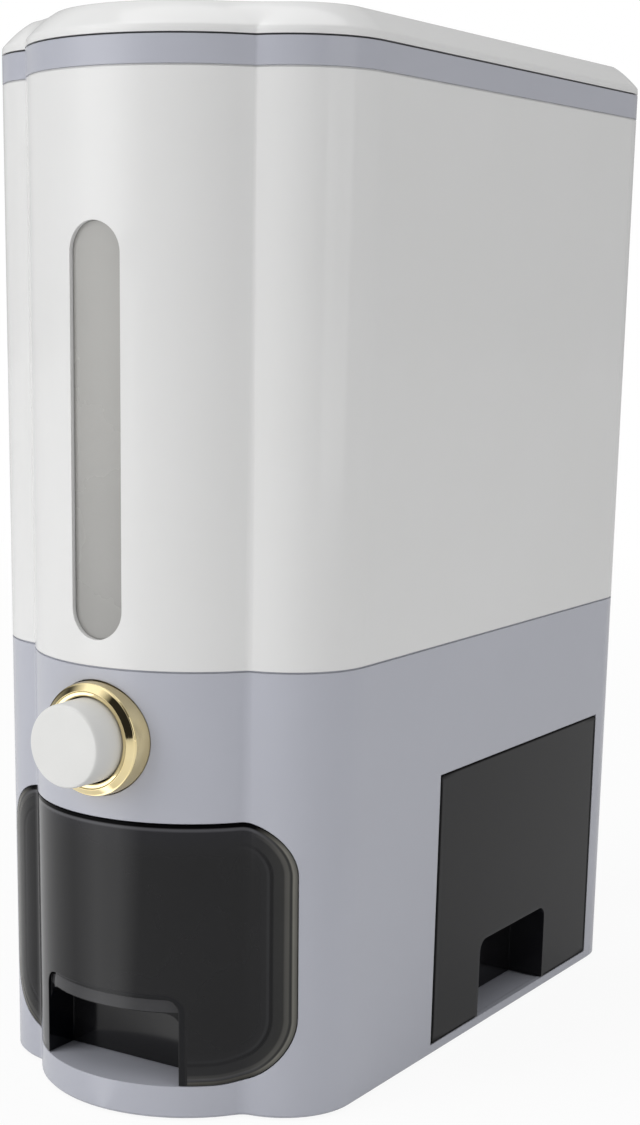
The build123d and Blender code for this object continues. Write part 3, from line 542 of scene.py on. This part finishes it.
def lidPlan(offset, creaseR, look):
    # the lid's outline, one row of points for each offset: arcs about fixed centres, first the
    # front lobe, then the crease whose circle touches lobe and corner, the corner, the straight
    # side and the back corner, and the same mirrored; a point on an arc is
    # centre + (radius + offset) * (cos, sin)
    frontY = look["rear"] - look["offset"] - look["depth"]
    cornerX, cornerY = look["halfWidth"] - look["frontR"], look["frontR"]
    lobeY, lobeR = look["lobe"]
    dx, dy = cornerX, cornerY - lobeY
    apart = math.hypot(dx, dy)
    near, far = lobeR + creaseR, look["frontR"] + creaseR
    along = (near ** 2 - far ** 2 + apart ** 2) / (2 * apart)
    aside = np.sqrt(near ** 2 - along ** 2)
    creaseX = (along * dx + aside * dy) / apart
    creaseY = lobeY + (along * dy - aside * dx) / apart
    turn = np.arctan2(creaseY - lobeY, creaseX)
    meet = np.arctan2(creaseY - cornerY, creaseX - cornerX)
    zero = 0 * offset
    lobeN, creaseN, frontN, sideN, backN = look["arcSteps"]
    backX, backY = look["halfWidth"] - look["backR"], look["depth"] - look["backR"]
    arcs = [
        (zero, lobeY + zero, lobeR + offset, -math.pi / 2 + zero, turn, lobeN),
        (creaseX, creaseY, creaseR - offset, turn + math.pi, meet + math.pi, creaseN),
        (cornerX + zero, cornerY + zero, look["frontR"] + offset, meet, zero, frontN),
        (backX + zero, backY + zero, look["backR"] + offset, zero, math.pi / 2 + zero, backN),
    ]
    runs = []
    for cx, cy, radius, start, end, count in arcs:
        share = np.linspace(0, 1, count, endpoint=False)
        angle = start + (end - start) * share
        runs.append(np.stack([cx + radius * np.cos(angle), cy + radius * np.sin(angle)], -1))
    side = np.linspace(0, 1, sideN, endpoint=False)
    sideX = look["halfWidth"] + offset + 0 * side
    sideY = cornerY + (backY - cornerY) * side + 0 * offset
    runs.insert(3, np.stack([sideX, sideY], -1))
    rear = np.linspace(1, 0, sideN)
    runs.append(np.stack([backX * rear + 0 * offset, look["depth"] + offset + 0 * rear], -1))
    right = np.concatenate(runs, axis=1)
    left = right[:, -2:0:-1] * (-1, 1)
    plan = np.concatenate([right, left], axis=1)
    plan[..., 1] += frontY
    return plan


def lidSkin(look, top):
    # rows climb the upright edge, then the slope, where the offset falls evenly with t and the
    # height is edge + rise * t + bulge * t * (1 - t), and close over the crowned top, where
    # each row is the last outline drawn in towards the middle
    t = np.linspace(0, 1, look["slopeRows"])
    rise = top - look["crown"] - look["edge"]
    offset = np.concatenate([[look["offset"]] * 2, look["offset"] - look["slope"] * t])
    height = np.concatenate([[look["seam"], look["edge"] - look["edgeRow"]],
                             look["edge"] + rise * t + look["bulge"] * t * (1 - t)])
    offset[2] -= look["edgeStep"]
    crease = np.concatenate([[0.0, 0.0], t]) * (look["crease"][1] - look["crease"][0])
    crease = crease + look["crease"][0]
    plan = lidPlan(offset[:, None], crease[:, None], look)
    rows = np.concatenate([plan, np.broadcast_to(height[:, None, None], plan.shape[:2] + (1,))], -1)
    middle = np.array([0.0, rows[-1, :, 1].mean(), 0.0])
    inward = np.linspace(1, 0, look["topRows"] + 1)[1:, None, None]
    topRows = middle + (rows[-1] - middle) * inward
    topRows[..., 2] = top - look["crown"] * inward[..., 0] ** 2
    return np.concatenate([rows, topRows])


def trimmedCopy(nodeName, drop):
    # a merged copy of a frame node's mesh without the faces that drop() picks
    work = bmesh.new()
    work.from_mesh(nodes[nodeName].data)
    bmesh.ops.remove_doubles(work, verts=work.verts, dist=mergeReach)
    picked = [face for face in work.faces if drop(face)]
    bmesh.ops.delete(work, geom=picked, context="FACES")
    work.verts.index_update()
    points = np.array([vert.co for vert in work.verts])
    faces = [[vert.index for vert in face.verts] for face in work.faces]
    work.free()
    return points, faces


# how near, in mm, a face has to lie to the lid's rear face, sloped part and upright edge, and
# the most that the normal of an upright face leans
outsideTest = {"rear": 0.05, "slope": 0.3, "edge": 0.06, "lean": 0.15}


def onLidOutside(face):
    middle = face.calc_center_median() * 1000
    heights = [1000 * vert.co.z for vert in face.verts]
    if middle.y > lidLook["rear"] + outsideTest["rear"]:
        return False
    if face.normal.z > outsideTest["lean"]:
        return min(heights) > lidLook["edge"] - outsideTest["slope"]
    upright = abs(face.normal.z) < outsideTest["lean"]
    return (upright and abs(max(heights) - lidLook["edge"]) < outsideTest["edge"]
            and abs(min(heights) - lidLook["seam"]) < outsideTest["edge"])


kept, keptFaces = trimmedCopy("lid", onLidOutside)
skin = lidSkin(lidLook, lidTop) / 1000
skinFaces = gridFaces(skin.shape[0], skin.shape[1], len(kept))
lid = addPiece("lidShell", np.concatenate([kept, skin.reshape(-1, 3)]),
               keptFaces + skinFaces.tolist(), whiteGlossAbs, "lid", ["lid"])
lid.data.set_sharp_from_angle(angle=math.radians(lidLook["sharpDegrees"]))
print("lid skin laid,", len(skinFaces), "faces")


def quarterCentres(nodeName):
    # the four like pieces of a node, one in each quarter: centre of each, lowest and highest z
    mesh = nodes[nodeName].data
    points = np.empty(3 * len(mesh.vertices))
    mesh.vertices.foreach_get("co", points)
    points = points.reshape(-1, 3)
    middle = (points.min(axis=0) + points.max(axis=0)) / 2
    centres = []
    for right in (False, True):
        for rear in (False, True):
            pick = ((points[:, 0] > middle[0]) == right) & ((points[:, 1] > middle[1]) == rear)
            group = points[pick]
            centres.append((group.min(axis=0) + group.max(axis=0)) / 2)
    return centres, points[:, 2].min(), points[:, 2].max()


def stamped(profile, around, centres, lift):
    # the same turned shape standing upright at each centre, its depth counted up from lift
    shape, quads = turned(profile, around)
    points = [shape + (place[0], place[1], lift) for place in centres]
    faces = [quads + index * len(shape) for index in range(len(centres))]
    return np.concatenate(points), np.concatenate(faces)


padLook = {
    "around": 64, "cornerSteps": 5,
    # rounded rim and two shallow grip grooves in the face that stands on the surface
    "corners": ((0.0, 0.25, 0), (1.6, 0.25, 0.2), (1.9, 0.0, 0.2), (3.6, 0.0, 0.2),
                (3.9, 0.3, 0.15), (4.5, 0.3, 0.15), (4.8, 0.0, 0.2), (6.6, 0.0, 0.4),
                (7.0, 0.45, 0.3), (7.0, 1.8, 0.1), (0.0, 1.8, 0)),
}
padCentres, padLow, _ = quarterCentres("rubber_feet")
padProfile = softCorners(padLook["corners"], padLook["cornerSteps"]) / 1000
points, quads = stamped(padProfile, padLook["around"], padCentres, padLow)
pads = addPiece("rubberPads", points, quads.tolist(), padRubber, "housing", ["rubber_feet"])
closeSeams(pads)

screwLook = {"around": 96, "headR": 2.85, "headH": 1.0, "headRings": 40, "shankR": 1.4,
             "tipR": 0.3, "tipH": 1.2, "recess": 0.85, "slotHalf": 0.36, "slotWall": 0.1,
             "slotReach": 1.75, "slotFade": 0.8, "sharpDegrees": 40}
screwCentres, screwLow, screwHigh = quarterCentres("base_screws")
shankLength = 1000 * (screwHigh - screwLow)
headRadii = np.linspace(0, screwLook["headR"], screwLook["headRings"])
head = np.stack([headRadii, 0 * headRadii], -1)
shank = np.array([(screwLook["shankR"], screwLook["headH"]),
                  (screwLook["shankR"], shankLength - screwLook["tipH"]),
                  (screwLook["tipR"], shankLength), (0.0, shankLength)])
screwProfile = np.concatenate([head, shank]) / 1000
shape, quads = turned(screwProfile, screwLook["around"])
# cross recess: inside two slots that cross at the centre the face sinks, least at the ends
narrow = np.minimum(abs(shape[:, 0]), abs(shape[:, 1])) * 1000
wide = np.maximum(abs(shape[:, 0]), abs(shape[:, 1])) * 1000
sink = np.clip((screwLook["slotHalf"] - narrow) / screwLook["slotWall"], 0, 1)
sink *= np.clip((screwLook["slotReach"] - wide) / screwLook["slotFade"], 0, 1)
sink *= shape[:, 2] < mergeReach
shape[:, 2] += sink * screwLook["recess"] / 1000
points = np.concatenate([shape + (place[0], place[1], screwLow) for place in screwCentres])
faces = np.concatenate([quads + index * len(shape) for index in range(len(screwCentres))])
screws = addPiece("coverScrews", points, faces.tolist(), zincSteel, "housing", ["base_screws"])
closeSeams(screws)
screws.data.set_sharp_from_angle(angle=math.radians(screwLook["sharpDegrees"]))
print("pads and screws made")

studio = {"ambient": 0.44, "frontDark": 0.02, "backPale": 0.45, "turnOver": (-0.1, 0.3),
          "strip": 1.2, "stripRight": (0.05, -0.3), "stripLeft": (-0.9, -0.62),
          "stripFront": (0.0, -0.2)}


def paleStrip(tree, direction):
    # 1 towards the strip of light at the object's front left, 0 elsewhere
    share = None
    for side, axis in (("stripRight", "X"), ("stripLeft", "X"), ("stripFront", "Y")):
        edge = addNode(tree, "ShaderNodeMapRange", None,
                       {"From Min": studio[side][0], "From Max": studio[side][1]},
                       {"Value": direction[axis]}).outputs["Result"]
        if share is not None:
            edge = addNode(tree, "ShaderNodeMath", {"operation": "MULTIPLY"}, {},
                           {0: share, 1: edge}).outputs[0]
        share = edge
    return share


floorSet = {"halfSize": 6.0, "colour": "#F4F4F4", "glow": 0.92, "glossyShare": 0.3,
            "fadeFrom": 0.3, "fadeTo": 1.6}
corner = floorSet["halfSize"]
floorMesh = bpy.data.meshes.new("floor")
floorMesh.from_pydata([(-corner, -corner, 0), (corner, -corner, 0), (corner, corner, 0),
                       (-corner, corner, 0)], [], [(0, 1, 2, 3)])
floor = bpy.data.objects.new("floor", floorMesh)
bpy.context.collection.objects.link(floor)
floorMaterial, tree, output, coords = newMaterial("studio_paper")
path = addNode(tree, "ShaderNodeLightPath")
glint = addNode(tree, "ShaderNodeMath", {"operation": "MULTIPLY"},
                {1: floorSet["glossyShare"]}, {0: path.outputs["Is Glossy Ray"]})
seen = addNode(tree, "ShaderNodeMath", {"operation": "MAXIMUM"}, {},
               {0: path.outputs["Is Camera Ray"], 1: glint.outputs[0]})
seen = addNode(tree, "ShaderNodeMath", {"operation": "MAXIMUM"}, {},
               {0: seen.outputs[0], 1: path.outputs["Is Transmission Ray"]})
# the paper is overexposed further out, so that it runs into the white background
reach = addNode(tree, "ShaderNodeVectorMath", {"operation": "LENGTH"}, {}, {0: coords})
fade = addNode(tree, "ShaderNodeMapRange", None,
               {"From Min": floorSet["fadeFrom"], "From Max": floorSet["fadeTo"],
                "To Min": floorSet["glow"], "To Max": 1.0}, {"Value": reach.outputs["Value"]})
share = addNode(tree, "ShaderNodeMath", {"operation": "MULTIPLY"}, {},
                {0: seen.outputs[0], 1: fade.outputs["Result"]})
paper = addNode(tree, "ShaderNodeBsdfDiffuse", None, {"Color": linear(floorSet["colour"])})
# only polished pieces see the strip, which runs on over the paper from the foot of the front
aside = addNode(tree, "ShaderNodeVectorMath", {"operation": "SUBTRACT"},
                {1: (0.0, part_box("drawer_front")[0][1], 0.0)}, {0: coords})
aside = addNode(tree, "ShaderNodeVectorMath", {"operation": "NORMALIZE"}, {}, {0: aside.outputs[0]})
aside = addNode(tree, "ShaderNodeSeparateXYZ", None, {}, {0: aside.outputs[0]})
strip = addNode(tree, "ShaderNodeMath", {"operation": "MULTIPLY"}, {},
                {0: paleStrip(tree, aside.outputs), 1: path.outputs["Is Glossy Ray"]})
strip = addNode(tree, "ShaderNodeMath", {"operation": "MULTIPLY_ADD"},
                {1: studio["strip"] / floorSet["glossyShare"], 2: 1.0}, {0: strip.outputs[0]})
glow = addNode(tree, "ShaderNodeEmission", None, {"Color": (1, 1, 1, 1)},
               {"Strength": strip.outputs[0]})
blend = addNode(tree, "ShaderNodeMixShader", None, {},
                {0: share.outputs[0], 1: paper.outputs[0], 2: glow.outputs[0]})
tree.links.new(blend.outputs[0], output.inputs["Surface"])
floorMesh.materials.append(floorMaterial)

world = bpy.data.worlds.new("studio")
bpy.context.scene.world = world
world.use_nodes = True
tree = world.node_tree
tree.nodes.clear()
output = addNode(tree, "ShaderNodeOutputWorld")
path = addNode(tree, "ShaderNodeLightPath")
around = addNode(tree, "ShaderNodeTexCoord").outputs["Generated"]
heading = addNode(tree, "ShaderNodeSeparateXYZ", None, {}, {0: around})
# polished pieces see a dark room in front of the object with one tall pale strip at its left,
# and pale walls behind it
walls = addNode(tree, "ShaderNodeMapRange", None,
                {"From Min": studio["turnOver"][0], "From Max": studio["turnOver"][1],
                 "To Min": studio["frontDark"], "To Max": studio["backPale"]},
                {"Value": heading.outputs["Y"]})
walls = addNode(tree, "ShaderNodeMath", {"operation": "MULTIPLY_ADD"}, {1: studio["strip"]},
                {0: paleStrip(tree, heading.outputs), 2: walls.outputs["Result"]})
room = addNode(tree, "ShaderNodeBackground", None, {"Color": (1, 1, 1, 1)},
               {"Strength": walls.outputs[0]})
ambient = addNode(tree, "ShaderNodeBackground", None,
                  {"Color": (1, 1, 1, 1), "Strength": studio["ambient"]})
white = addNode(tree, "ShaderNodeBackground", None, {"Color": (1, 1, 1, 1), "Strength": 1.0})
blend = addNode(tree, "ShaderNodeMixShader", None, {},
                {0: path.outputs["Is Glossy Ray"], 1: ambient.outputs[0], 2: room.outputs[0]})
seen = addNode(tree, "ShaderNodeMath", {"operation": "MAXIMUM"}, {},
               {0: path.outputs["Is Camera Ray"], 1: path.outputs["Is Transmission Ray"]})
blend = addNode(tree, "ShaderNodeMixShader", None, {},
                {0: seen.outputs[0], 1: blend.outputs[0], 2: white.outputs[0]})
tree.links.new(blend.outputs[0], output.inputs["Surface"])

aim = Vector((0.0, 0.0, 0.19))  # about the object's middle
lamps = {
    "leftSoftbox": {"place": (-0.82, -1.35, 0.95), "size": (1.0, 1.4), "power": 14.0,
                    "mirrored": False},
    "topSoftbox": {"place": (0.1, -0.2, 1.5), "size": (1.2, 1.2), "power": 5.0,
                   "mirrored": True},
    "rightFill": {"place": (1.5, -0.2, 0.6), "size": (0.9, 1.2), "power": 2.6,
                  "mirrored": True},
}
for lampName, lamp in lamps.items():
    light = bpy.data.lights.new(lampName, "AREA")
    light.shape = "RECTANGLE"
    light.size, light.size_y = lamp["size"]
    light.energy = lamp["power"]
    holder = bpy.data.objects.new(lampName, light)
    holder.location = lamp["place"]
    holder.visible_glossy = lamp["mirrored"]
    holder.rotation_euler = (aim - Vector(lamp["place"])).to_track_quat("-Z", "Y").to_euler()
    bpy.context.collection.objects.link(holder)

lens = {"place": (0.4276, -0.6972, 0.2894), "azimuth": 33.548, "down": 8.907, "roll": 0.664,
        "millimetres": 66.18, "sensorMm": 36.0, "shift": (0.07396, 0.0480), "nearest": 0.01}
turn, dip, lean = (math.radians(lens[name]) for name in ("azimuth", "down", "roll"))
forward = Vector((-math.sin(turn) * math.cos(dip), math.cos(turn) * math.cos(dip), -math.sin(dip)))
level = Vector((math.cos(turn), math.sin(turn), 0.0))
upright = level.cross(forward)
cameraX = level * math.cos(lean) + upright * math.sin(lean)
cameraY = upright * math.cos(lean) - level * math.sin(lean)
camera = bpy.data.objects.new("camera", bpy.data.cameras.new("camera"))
camera.matrix_world = Matrix.Translation(lens["place"]) @ Matrix(
    (cameraX, cameraY, -forward)).transposed().to_4x4()
camera.data.sensor_fit = "VERTICAL"
camera.data.sensor_height = lens["sensorMm"]
camera.data.lens = lens["millimetres"]
camera.data.shift_x, camera.data.shift_y = lens["shift"]
camera.data.clip_start = lens["nearest"]
bpy.context.collection.objects.link(camera)
bpy.context.scene.camera = camera
bpy.context.scene.view_settings.view_transform = "Standard"
print("floor, lamps and camera set")
